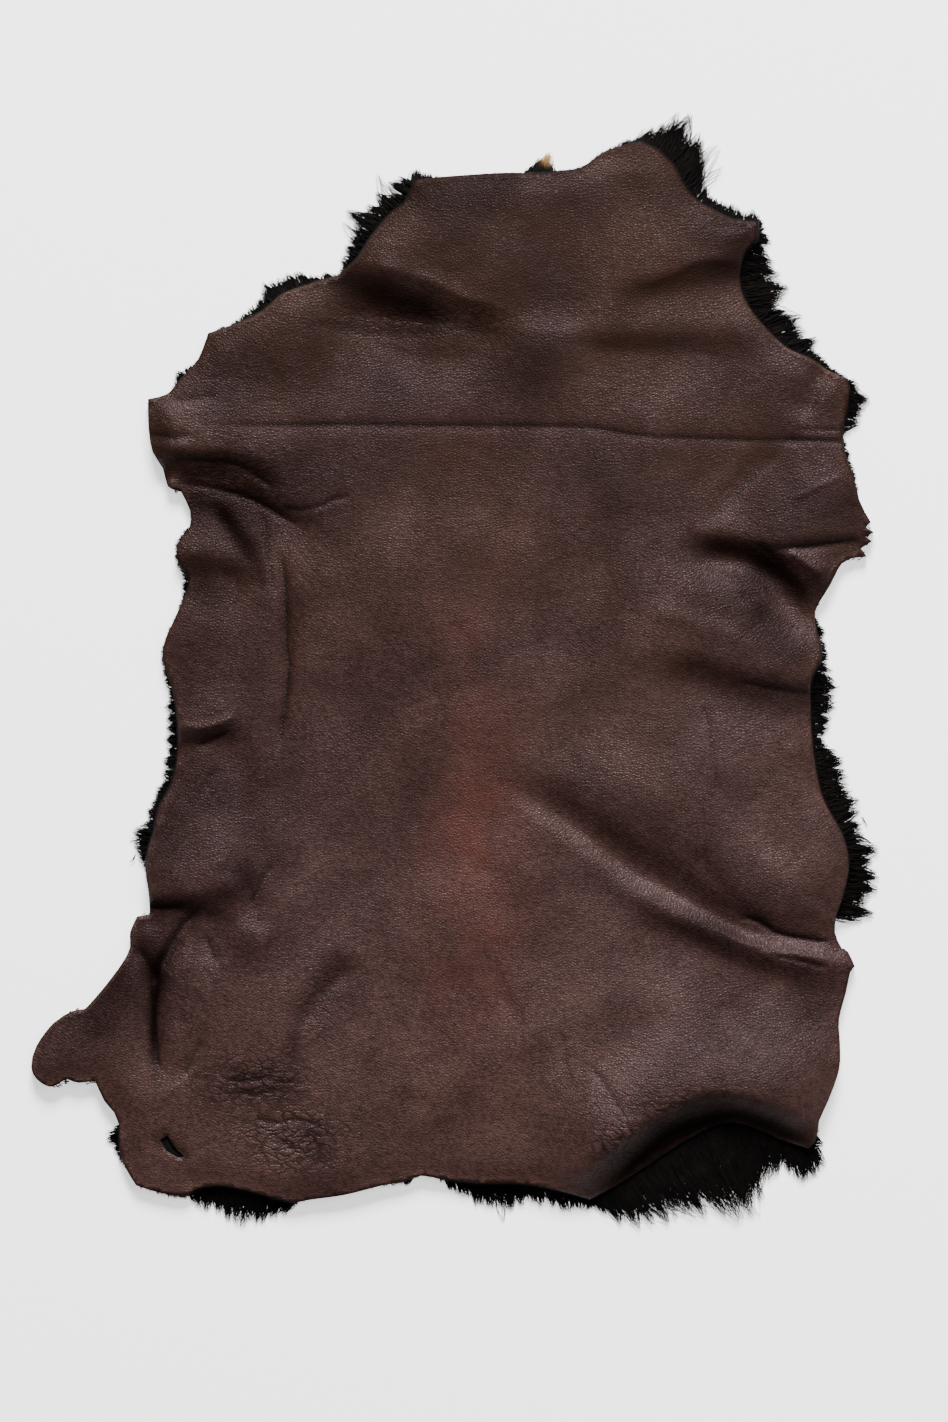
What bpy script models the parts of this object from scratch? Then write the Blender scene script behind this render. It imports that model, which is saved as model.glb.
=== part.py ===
# A sheepskin laid out flat on its wool, leather side up.
#
# One hide, kept as its two materials. The skin is the tanned leather: a thin sheet with the
# hide's natural outline, raised and sunk along the folds it was packed with, and torn through
# once near a hind leg. The fleece is the wool pressed under it: a lumpy slab that rests flat,
# arches a little under the tallest folds, and ends in locks that show past the skin's edge.
#
# The tables are in millimetres, measured from the middle of the back. +Y runs to the neck, +X
# to the right as seen from above. The meshes are in metres, with the origin under the centre
# of the whole hide's box, on the surface that it lies on.

import math
import random
from collections import namedtuple

import bmesh
import bpy
import numpy as np
from mathutils import Vector, geometry

MM = 0.001

# Skin and fleece
SKIN_THICK = 2.0      # tanned hide with its shorn wool roots
SKIN_BED = 20.0       # top of the skin above the surface, where it lies slack
SKIN_LOWEST = 9.0     # wool never presses flatter than this
PIECE_GAP = 0.3       # between the skin and the fleece
PILE = 27.0           # how thick the wool is before it lifts off the surface
RIM_DIP = 4.0         # how far the skin's cut edge hangs down
RIM_SOFT = 16.0       # over this distance from the edge

# Locks at the rim
LOCK_SHOWS = 5.0      # wool that reaches less than this past the skin makes no lock
LOCK_NOTCH = 0.62     # how far out the notch between two locks lies, as a share of their reach
LOCK_UNEVEN = 0.22    # how much the reach of notches and tips varies
LOCK_LEAN = 0.55      # how much a lock follows the way it was combed, against straight out
LOCK_TIP_HIGH = 3.0   # tips rest level on the surface, this thick
LOCK_LONG = 30.0      # longer locks get a row of lumps between root and notch
WOOL_LUMP = 1.5       # how much the upper side of the locks rises and falls
WOOL_PAST = 1.0       # the fleece stands at least this far past the skin

# How finely the sheet is divided
RIM_STEP = 12.0
FIELD_STEP = 31.0
FOLD_STEP = 21.0
CLOSEST = 8.0         # no two inner points are nearer than this
FLOOR_STEP = 52.0

Stretch = namedtuple("Stretch", "place combed marks")
Fold = namedtuple("Fold", "place rise above below path")
Swell = namedtuple("Swell", "rise length heading shift")

# The skin's edge, clockwise from the left of the neck. Each stretch is smooth, and starts at a
# corner. combed is the compass angle that the locks lean to, counted from +X. A mark is x, y and
# how far the wool reaches past the skin there.
STRETCHES = (
    Stretch("nape", 75, ((-35, 489, 12), (-10, 493, 2), (50, 497, 2), (76, 497, 2), (86, 497, 19),
                         (98, 497, 17), (106, 499, 2), (132, 503, 2), (156, 519, 3))),
    Stretch("neck point", 76, ((190, 529, 8), (203, 523, 24), (215, 514, 46), (226, 502, 44),
                               (238, 480, 30), (250, 468, 13), (270, 457, 12), (286, 450, 16))),
    Stretch("torn neck scrap", 25, ((308, 448, 9),)),
    Stretch("right of the neck", -5, ((308, 432, 13), (295, 418, 25), (290, 395, 34),
                                      (294, 373, 38), (310, 349, 28), (335, 324, 23),
                                      (360, 312, 14), (376, 301, 8))),
    Stretch("right shoulder", 0, ((396, 292, 4), (399, 284, 10), (398, 268, 21), (395, 252, 18),
                                  (393, 236, 3), (395, 215, 7), (403, 194, 5))),
    Stretch("ragged elbow", 0, ((409, 171, 1), (415, 158, 1))),
    Stretch("first rag", 0, ((421, 148, 1),)),
    Stretch("first notch", 0, ((415, 143, 1),)),
    Stretch("second rag", 0, ((424, 138, 1),)),
    Stretch("second notch", 0, ((415, 134, 1),)),
    Stretch("third rag", 0, ((422, 129, 1),)),
    Stretch("third notch", 0, ((411, 122, 1),)),
    Stretch("last rag", 0, ((417, 114, 1),)),
    Stretch("right waist", 0, ((406, 113, 1), (392, 107, 1), (380, 85, 1), (365, 59, 2),
                               (367, 38, 8), (371, 15, 10), (361, -11, 25), (361, -32, 23),
                               (362, -65, 14), (365, -92, 27), (373, -128, 31), (393, -166, 22),
                               (399, -196, 24), (393, -226, 29))),
    Stretch("right flank bay", -20, ((387, -244, 28), (386, -248, 1), (385, -263, 1),
                                     (392, -279, 1), (398, -282, 1))),
    Stretch("right hind leg", -10, ((405, -297, 1), (401, -300, 1), (396, -323, 1),
                                    (389, -350, 1), (390, -375, 1), (389, -400, 1),
                                    (378, -431, 1), (369, -451, 1), (366, -470, 4))),
    Stretch("right of the rump", -62, ((359, -479, 30), (330, -470, 40), (307, -460, 56),
                                       (283, -453, 76), (262, -458, 84), (230, -475, 80),
                                       (195, -498, 62), (165, -517, 34))),
    Stretch("rump", -75, ((140, -530, 13), (110, -521, 19), (80, -515, 18), (55, -514, 26),
                          (30, -514, 22), (10, -512, 16), (-10, -509, 3), (-29, -506, 1),
                          (-45, -511, 6), (-70, -516, 2), (-105, -525, 1), (-140, -530, 1))),
    Stretch("left of the rump", -95, ((-157, -533, 4), (-175, -529, 20), (-200, -522, 31),
                                      (-228, -517, 23), (-252, -519, 14), (-267, -526, 4),
                                      (-290, -523, 4))),
    Stretch("left hind leg", 190, ((-314, -516, 1), (-325, -498, 1), (-330, -480, 10),
                                   (-331, -465, 14), (-331, -455, 2), (-336, -443, 1),
                                   (-346, -431, 1))),
    Stretch("leg flap", 180, ((-355, -411, 1), (-372, -413, 1))),
    Stretch("flap lobe", 180, ((-384, -409, 1), (-399, -417, 1), (-413, -410, 1),
                               (-419, -397, 1), (-414, -377, 1), (-397, -354, 1),
                               (-378, -342, 1))),
    Stretch("behind the flap", 180, ((-365, -340, 1), (-346, -318, 1), (-328, -294, 1),
                                     (-320, -278, 1), (-320, -263, 1))),
    Stretch("tucked edge", 180, ((-313, -247, 1),)),
    Stretch("left flank", 172, ((-300, -245, 1), (-301, -223, 1), (-304, -198, 3),
                                (-301, -177, 15), (-295, -156, 14), (-290, -135, 10),
                                (-278, -112, 11), (-273, -85, 11), (-272, -55, 13),
                                (-277, -20, 8), (-287, 12, 4), (-284, 32, 2), (-272, 58, 3),
                                (-261, 88, 8), (-274, 114, 2), (-267, 132, 8), (-260, 143, 2),
                                (-260, 160, 1))),
    Stretch("left elbow", 180, ((-269, 179, 1), (-282, 184, 1), (-287, 202, 1), (-297, 218, 1),
                                (-301, 240, 1))),
    Stretch("left shoulder", 130, ((-302, 271, 1), (-282, 276, 2), (-268, 292, 7),
                                   (-252, 311, 1))),
    Stretch("left of the neck", 125, ((-242, 337, 1), (-215, 346, 6), (-188, 359, 14),
                                      (-170, 375, 18), (-145, 385, 14))),
    Stretch("left nape", 160, ((-110, 395, 2), (-92, 413, 14), (-78, 435, 25), (-60, 456, 27),
                               (-45, 468, 25))),
)

# The tear by the left hind leg
TEAR = ((-290, -470), (-283, -466), (-278, -476), (-266, -487), (-272, -488), (-284, -481))

# Folds and hollows. rise is the height at the fold's line, above and below are its half widths to
# the left and right of the path, which runs left to right or neck to rump.
FOLDS = (
    Fold("nape roll", 10, 80, 24, ((-130, 422), (-80, 408), (-35, 390), (15, 373), (95, 357))),
    Fold("nape valley", -9.5, 24, 60, ((-155, 372), (-105, 355), (-55, 342), (0, 339), (100, 336))),
    Fold("right nape roll", 3.5, 55, 18, ((150, 386), (200, 402), (250, 415), (325, 421))),
    Fold("right nape valley", -3, 18, 40, ((160, 361), (210, 372), (250, 383), (320, 392))),
    Fold("neck root roll", 3, 30, 15, ((100, 340), (200, 342), (290, 345), (350, 340))),
    Fold("neck root valley", -3, 15, 45, ((100, 321), (190, 318), (270, 314), (360, 308))),
    Fold("neck lobe crease", -4, 9, 15, ((383, 315), (365, 282), (349, 245))),
    Fold("left shoulder roll", 8.5, 52, 16, ((-330, 221), (-260, 223), (-200, 218), (-145, 189))),
    Fold("left shoulder hollow", -4, 13, 9, ((-320, 196), (-260, 195), (-205, 190))),
    Fold("left elbow valley", -8.5, 17, 44, ((-295, 178), (-245, 176), (-205, 166), (-165, 148),
                                             (-120, 122))),
    Fold("left armpit roll", 2.5, 40, 15, ((-248, 182), (-210, 150), (-184, 112), (-178, 50))),
    Fold("left waist hollow", -4.5, 14, 30, ((-295, 99), (-245, 92), (-190, 80))),
    Fold("left side pinch", -3, 9, 9, ((-177, 145), (-166, 90), (-163, 20), (-165, -35),
                                       (-178, -95))),
    Fold("left rib roll", 4, 32, 10, ((-300, -57), (-250, -57), (-200, -44))),
    Fold("left rib valley", -4, 11, 36, ((-300, -77), (-245, -78), (-190, -72))),
    Fold("left tuck roll", 8.5, 55, 16, ((-335, -228), (-275, -223), (-235, -215), (-180, -198))),
    Fold("left tuck valley", -9, 13, 36, ((-340, -244), (-285, -243), (-245, -250), (-198, -265))),
    Fold("leg root valley", -5, 10, 16, ((-256, -243), (-282, -285), (-295, -315), (-296, -370),
                                         (-289, -425))),
    Fold("leg root branch", -4, 10, 10, ((-320, -268), (-306, -295), (-292, -325))),
    Fold("left rump crease", -3, 12, 16, ((-88, -285), (-125, -320), (-156, -364))),
    Fold("left leg crease", -1.5, 14, 14, ((-243, -355), (-260, -390), (-278, -420))),
    Fold("right shoulder crease", -2, 8, 9, ((335, 233), (295, 195), (270, 165), (243, 134))),
    Fold("right elbow roll", 4.5, 45, 34, ((300, 132), (350, 162), (390, 188), (440, 208))),
    Fold("right elbow valley", -5, 11, 20, ((325, 116), (390, 121), (445, 126))),
    Fold("right armpit roll", 5.5, 40, 12, ((215, 142), (270, 137), (325, 127), (360, 106),
                                            (382, 76), (392, 50))),
    Fold("right armpit valley", -9.5, 15, 26, ((215, 114), (280, 111), (317, 97), (335, 72),
                                               (352, 50), (375, 25))),
    Fold("right rib roll", 5.5, 70, 22, ((170, 24), (240, 22), (300, 6), (350, -6), (450, -12))),
    Fold("right rib valley", -6.5, 20, 55, ((190, -10), (255, -16), (310, -28), (365, -37),
                                            (450, -42))),
    Fold("right haunch roll", 8, 62, 22, ((60, -75), (150, -130), (230, -180), (290, -220),
                                          (350, -235), (425, -243))),
    Fold("right haunch valley", -6.5, 20, 12, ((30, -100), (110, -145), (170, -190), (220, -223),
                                               (270, -248), (320, -268), (360, -276), (425, -284))),
    Fold("right flank roll", 4.5, 9, 14, ((150, -210), (220, -240), (270, -267), (320, -283),
                                          (370, -290), (435, -299))),
    Fold("right flank valley", -6, 18, 45, ((160, -256), (240, -275), (290, -298), (350, -320),
                                            (415, -333))),
    Fold("rump roll", 19, 55, 20, ((85, -518), (122, -500), (172, -464), (215, -434), (262, -419),
                                   (300, -424), (345, -438), (410, -452))),
    Fold("rump curl", -11, 26, 60, ((95, -580), (140, -545), (172, -520), (215, -492), (262, -472),
                                    (305, -474), (345, -486), (400, -500))),
)

# The slack rise and fall of the whole hide, in long waves
SWELLS = (
    Swell(1.8, 430, 70, 0.4),
    Swell(1.3, 260, 20, 2.1),
    Swell(0.8, 150, 120, 4.0),
)

SKIN_LOOK = dict(color=(0.0445, 0.0265, 0.0222, 1.0), roughness=0.42, metallic=0.0)
FLEECE_LOOK = dict(color=(0.0042, 0.0034, 0.0030, 1.0), roughness=0.92, metallic=0.0)

RimPoint = namedtuple("RimPoint", "at wool out lean")


def smooth(share):
    """Ease from 0 to 1."""
    share = np.clip(share, 0.0, 1.0)
    return share * share * (3.0 - 2.0 * share)


def curve_point(before, start, end, after, share):
    """A point of the smooth curve between start and end."""
    squared, cubed = share ** 2, share ** 3
    return tuple(0.5 * (2 * b + (c - a) * share + (2 * a - 5 * b + 4 * c - d) * squared
                        + (3 * b - a - 3 * c + d) * cubed)
                 for a, b, c, d in zip(before, start, end, after))


def rim():
    """The skin's edge as evenly spaced points, each with its wool and the way its lock grows."""
    marks = []
    for number, stretch in enumerate(STRETCHES):
        ends = stretch.marks + STRETCHES[(number + 1) % len(STRETCHES)].marks[:1]
        for place in range(len(ends) - 1):
            start, end = ends[place], ends[place + 1]
            before, after = ends[max(place - 1, 0)], ends[min(place + 2, len(ends) - 1)]
            pieces = max(1, round(math.dist(start[:2], end[:2]) / RIM_STEP))
            for piece in range(pieces):
                share = piece / pieces
                x, y = curve_point(before[:2], start[:2], end[:2], after[:2], share)
                wool = start[2] + (end[2] - start[2]) * share
                marks.append((Vector((x, y)), wool, math.radians(stretch.combed)))
    points = []
    for number, (at, wool, combed) in enumerate(marks):
        along = marks[(number + 1) % len(marks)][0] - marks[number - 1][0]
        out = Vector((-along.y, along.x)).normalized()
        comb = Vector((math.cos(combed), math.sin(combed)))
        lean = (out * (1 - LOCK_LEAN) + comb * LOCK_LEAN).normalized()
        points.append(RimPoint(at, wool, out, lean))
    return points


def path_fields(path, x, y):
    """For every point: distance to the path, which side it is on, and how far along it lies."""
    far = np.full(x.shape, np.inf)
    left = np.ones(x.shape, dtype=bool)
    place = np.zeros(x.shape)
    lengths = [math.dist(a, b) for a, b in zip(path, path[1:])]
    walked = 0.0
    for (ax, ay), (bx, by), length in zip(path, path[1:], lengths):
        ux, uy = (bx - ax) / length, (by - ay) / length
        ahead = np.clip((x - ax) * ux + (y - ay) * uy, 0.0, length)
        gap_x, gap_y = x - ax - ahead * ux, y - ay - ahead * uy
        distance = np.hypot(gap_x, gap_y)
        nearer = distance < far
        far = np.where(nearer, distance, far)
        left = np.where(nearer, ux * (y - ay) - uy * (x - ax) > 0, left)
        place = np.where(nearer, (walked + ahead) / sum(lengths), place)
        walked += length
    return far, left, place


def skin_height(x, y, edge):
    """Top of the skin at points x, y in millimetres; edge is the closed line of its rim."""
    height = np.full(x.shape, SKIN_BED)
    for swell in SWELLS:
        heading = math.radians(swell.heading)
        run = x * math.cos(heading) + y * math.sin(heading)
        height += swell.rise * np.sin(2 * math.pi * run / swell.length + swell.shift)
    fade = 0.3
    for fold in FOLDS:
        far, left, place = path_fields(fold.path, x, y)
        half = np.where(left, fold.above, fold.below)
        ends = smooth(place / fade) * smooth((1.0 - place) / fade)
        height += fold.rise * np.exp(-(far / half) ** 2) * ends
    far, _, _ = path_fields(edge, x, y)
    height -= RIM_DIP * np.exp(-(far / RIM_SOFT) ** 2)
    return np.maximum(height, SKIN_LOWEST)


def inside(loop, x, y):
    """Whether each point lies within the closed loop."""
    within = np.zeros(x.shape, dtype=bool)
    for (ax, ay), (bx, by) in zip(loop, loop[1:] + loop[:1]):
        crosses = (ay > y) != (by > y)
        rise = by - ay if by != ay else 1.0
        within ^= crosses & (x < (bx - ax) * (y - ay) / rise + ax)
    return within


def path_rows(fold):
    """Points along a fold's line, and along a line where each of its sides levels out."""
    rows = []
    for shift in (0.0, 1.15 * fold.above, -1.15 * fold.below):
        for (ax, ay), (bx, by) in zip(fold.path, fold.path[1:]):
            length = math.dist((ax, ay), (bx, by))
            steps = max(1, round(length / FOLD_STEP))
            for step in range(steps):
                share = step / steps
                rows.append((ax + (bx - ax) * share - (by - ay) / length * shift,
                             ay + (by - ay) * share + (bx - ax) / length * shift))
    return rows


def field_points(edge):
    """Inner points of the sheet: along the folds first, then an uneven field between them."""
    rng = random.Random(31)
    wanted = [point for fold in FOLDS for point in path_rows(fold)]
    xs, ys = [p[0] for p in edge], [p[1] for p in edge]
    row_step = FIELD_STEP * math.sqrt(3) / 2
    rows = int((max(ys) - min(ys)) / row_step) + 1
    columns = int((max(xs) - min(xs)) / FIELD_STEP) + 1
    for row in range(rows):
        for column in range(columns):
            x = min(xs) + (column + 0.5 * (row % 2)) * FIELD_STEP
            wanted.append((x + rng.uniform(-3, 3), min(ys) + row * row_step + rng.uniform(-3, 3)))
    x, y = np.array(wanted).T
    clear = inside(edge, x, y)
    clear &= path_fields(edge + edge[:1], x, y)[0] > CLOSEST
    clear &= path_fields(TEAR + TEAR[:1], x, y)[0] > CLOSEST
    clear &= ~inside(list(TEAR), x, y)
    kept = []
    from_folds = len(wanted) - rows * columns
    for number, point in enumerate(wanted):
        room = CLOSEST if number < from_folds else 0.62 * FIELD_STEP
        if clear[number] and all(math.dist(point, other) >= room for other in kept):
            kept.append(point)
    return kept


def lock_loop(points):
    """The fleece's outline: a notch at each rim point and a tip between it and the next."""
    rng = random.Random(8)
    loop = []
    for number, point in enumerate(points):
        after = points[(number + 1) % len(points)]
        if point.wool < LOCK_SHOWS:
            loop.append((point.at + point.out * max(point.wool, WOOL_PAST), point, 0.25))
        else:
            share = LOCK_NOTCH * rng.uniform(1 - LOCK_UNEVEN, 1 + LOCK_UNEVEN)
            loop.append((point.at + point.lean * point.wool * share, point, share))
        if point.wool >= LOCK_SHOWS and after.wool >= LOCK_SHOWS:
            lean = (point.lean + after.lean).normalized()
            reach = 0.5 * (point.wool + after.wool)
            reach *= rng.uniform(1 - LOCK_UNEVEN, 1 + LOCK_UNEVEN)
            loop.append((point.at.lerp(after.at, rng.uniform(0.3, 0.7)) + lean * reach, point, 1.0))
    return loop


def lump_row(points):
    """Lumps on the upper side of the longest locks, with how far out they lie."""
    return [(point.at + point.lean * point.wool * share, point, share)
            for number, point in enumerate(points) if point.wool > LOCK_LONG
            for share in ((0.22, 0.38)[number % 2],)]


def make_look(name, look):
    material = bpy.data.materials.new(name)
    material.use_nodes = True
    shader = material.node_tree.nodes["Principled BSDF"]
    shader.inputs["Base Color"].default_value = look["color"]
    shader.inputs["Roughness"].default_value = look["roughness"]
    shader.inputs["Metallic"].default_value = look["metallic"]
    material.diffuse_color = look["color"]
    return material


def make_object(name, shape, material):
    bmesh.ops.recalc_face_normals(shape, faces=shape.faces)
    mesh = bpy.data.meshes.new(name)
    shape.to_mesh(mesh)
    shape.free()
    mesh.materials.append(material)
    mesh.shade_smooth()
    mesh.set_sharp_from_angle(angle=math.radians(50))
    made = bpy.data.objects.new(name, mesh)
    bpy.context.scene.collection.objects.link(made)
    return made


def add_sheet(shape, flat, heights, triangles):
    """Faces over the flat points at their heights; returns the vertices, None where unused."""
    used = {corner for triangle in triangles for corner in triangle}
    corners = [shape.verts.new((x * MM, y * MM, heights[number] * MM)) if number in used else None
               for number, (x, y) in enumerate(flat)]
    faces = [shape.faces.new([corners[corner] for corner in triangle]) for triangle in triangles]
    return corners, faces


def make_skin(flat, heights, triangles, centre):
    """The leather: the top sheet, drawn straight down by its thickness."""
    shape = bmesh.new()
    _, faces = add_sheet(shape, flat, heights, triangles)
    grown = bmesh.ops.extrude_face_region(shape, geom=faces)["geom"]
    lower = [item for item in grown if isinstance(item, bmesh.types.BMVert)]
    bmesh.ops.translate(shape, verts=lower, vec=(0, 0, -SKIN_THICK * MM))
    bmesh.ops.translate(shape, verts=shape.verts, vec=-centre)
    return make_object("skin", shape, make_look("brown nappa leather", SKIN_LOOK))


def make_fleece(flat, heights, triangles, loop_numbers, loop_floor, edge, centre):
    """The wool: an upper side that follows the skin, a wall round its locks, and a flat base."""
    shape = bmesh.new()
    corners, _ = add_sheet(shape, flat, heights, triangles)
    foot = {number: shape.verts.new((flat[number][0] * MM, flat[number][1] * MM, level * MM))
            for number, level in zip(loop_numbers, loop_floor)}
    for number, after in zip(loop_numbers, loop_numbers[1:] + loop_numbers[:1]):
        shape.faces.new((corners[number], corners[after], foot[after], foot[number]))

    outer = [flat[number] for number in loop_numbers]
    xs, ys = [p[0] for p in edge], [p[1] for p in edge]
    spots = [(x, y) for x in np.arange(min(xs), max(xs), FLOOR_STEP)
             for y in np.arange(min(ys), max(ys), FLOOR_STEP)]
    spots += [spot for fold in FOLDS if fold.rise > 0 for spot in path_rows(fold)]
    x, y = np.array(spots).T
    clear = inside(edge, x, y) & (path_fields(edge + edge[:1], x, y)[0] > CLOSEST)
    kept = []
    for spot, free in zip(spots, clear):
        if free and all(math.dist(spot, other) > 2 * CLOSEST for other in kept):
            kept.append(spot)
    x, y = np.array(kept).T
    arch = np.maximum(skin_height(x, y, edge + edge[:1]) - PILE, 0.0)
    base = [Vector(spot) for spot in outer + kept]
    ring = list(range(len(outer)))
    found = geometry.delaunay_2d_cdt(base, [], [ring], 1, 1e-6)
    floor = [foot[number] for number in loop_numbers]
    floor += [shape.verts.new((x * MM, y * MM, level * MM)) for (x, y), level in zip(kept, arch)]
    for triangle in found[2]:
        shape.faces.new([floor[found[3][corner][0]] for corner in triangle])
    bmesh.ops.triangulate(shape, faces=[face for face in shape.faces if len(face.verts) > 3])
    bmesh.ops.translate(shape, verts=shape.verts, vec=-centre)
    return make_object("fleece", shape, make_look("black wool", FLEECE_LOOK))


def build():
    points = rim()
    edge = [tuple(point.at) for point in points]
    closed_edge = edge + edge[:1]
    loop = lock_loop(points)
    lumps = lump_row(points)
    field = field_points(edge)

    flat = edge + [tuple(at) for at, _, _ in loop] + list(TEAR)
    flat += [tuple(at) for at, _, _ in lumps] + field
    edge_numbers = list(range(len(edge)))
    loop_numbers = list(range(len(edge), len(edge) + len(loop)))
    tear_start = len(edge) + len(loop)
    tear_numbers = list(range(tear_start, tear_start + len(TEAR)))
    rings = [list(zip(ring, ring[1:] + ring[:1])) for ring in (edge_numbers, tear_numbers)]
    found = geometry.delaunay_2d_cdt([Vector(point) for point in flat], rings[0] + rings[1],
                                     [loop_numbers], 1, 1e-6)
    triangles = [tuple(found[3][corner][0] for corner in triangle) for triangle in found[2]]
    x, y = np.array(flat).T
    middle_x = np.array([sum(x[corner] for corner in t) / 3 for t in triangles])
    middle_y = np.array([sum(y[corner] for corner in t) / 3 for t in triangles])
    under_skin = inside(edge, middle_x, middle_y) & ~inside(list(TEAR), middle_x, middle_y)

    skin_top = skin_height(x, y, closed_edge)
    wool_top = skin_top - SKIN_THICK - PIECE_GAP
    wool_floor = [0.0] * len(loop)
    rng = random.Random(5)
    for number, (_, root, share) in enumerate(loop, len(edge)):
        root_high = wool_top[points.index(root)]
        wool_top[number] = LOCK_TIP_HIGH + (root_high - LOCK_TIP_HIGH) * (1 - share) ** 0.8
        if 0.3 < share < 1.0:
            wool_top[number] += rng.uniform(-WOOL_LUMP, WOOL_LUMP)
        if root.wool < LOCK_SHOWS:
            arch = max(skin_top[number] - PILE, 0.0)
            wool_floor[number - len(edge)] = min(arch, wool_top[number] - LOCK_TIP_HIGH)
    lump_start = tear_start + len(TEAR)
    for number, (_, root, share) in enumerate(lumps, lump_start):
        root_high = wool_top[points.index(root)]
        wool_top[number] = LOCK_TIP_HIGH + (root_high - LOCK_TIP_HIGH) * (1 - share) ** 0.5
        wool_top[number] += rng.uniform(-WOOL_LUMP, 2 * WOOL_LUMP)

    outer_x, outer_y = np.array([flat[number] for number in loop_numbers]).T
    centre = Vector(((outer_x.min() + outer_x.max()) / 2 * MM,
                     (outer_y.min() + outer_y.max()) / 2 * MM, 0.0))
    skin_triangles = [t for t, kept in zip(triangles, under_skin) if kept]
    make_skin(flat, skin_top, skin_triangles, centre)
    make_fleece(flat, wool_top, triangles, loop_numbers, wool_floor, edge, centre)


for old in list(bpy.data.objects):
    bpy.data.objects.remove(old, do_unlink=True)
build()
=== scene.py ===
import math
import random
from collections import namedtuple

import bmesh
import bpy
import numpy as np
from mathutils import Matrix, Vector, geometry, noise


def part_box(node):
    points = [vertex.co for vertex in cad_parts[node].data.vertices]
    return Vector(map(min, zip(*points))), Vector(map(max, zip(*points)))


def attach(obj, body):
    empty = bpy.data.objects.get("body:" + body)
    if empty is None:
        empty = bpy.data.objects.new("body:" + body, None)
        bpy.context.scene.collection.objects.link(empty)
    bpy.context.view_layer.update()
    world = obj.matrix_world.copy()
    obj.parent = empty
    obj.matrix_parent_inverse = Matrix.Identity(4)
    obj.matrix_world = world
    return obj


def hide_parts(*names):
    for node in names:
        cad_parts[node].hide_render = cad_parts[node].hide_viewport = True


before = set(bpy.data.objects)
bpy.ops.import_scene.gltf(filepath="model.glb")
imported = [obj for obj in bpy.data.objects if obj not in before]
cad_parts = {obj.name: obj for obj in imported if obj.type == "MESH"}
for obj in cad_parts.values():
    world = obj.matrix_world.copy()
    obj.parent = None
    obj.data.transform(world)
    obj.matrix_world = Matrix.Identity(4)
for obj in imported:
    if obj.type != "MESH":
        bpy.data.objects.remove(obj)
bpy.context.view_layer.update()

# A sheepskin laid out flat, leather side up, on its own black wool.
# Tables are in millimetres from the middle of the back, as in the part's source; +Y is the neck.

mm = 0.001
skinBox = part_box("skin")

Stretch = namedtuple("Stretch", "place combed marks")
Fold = namedtuple("Fold", "place rise above below path")
Swell = namedtuple("Swell", "rise length heading shift")
Wisp = namedtuple("Wisp", "place root tip strands spread")
Wrinkled = namedtuple("Wrinkled", "place at wide tall strength")

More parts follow.
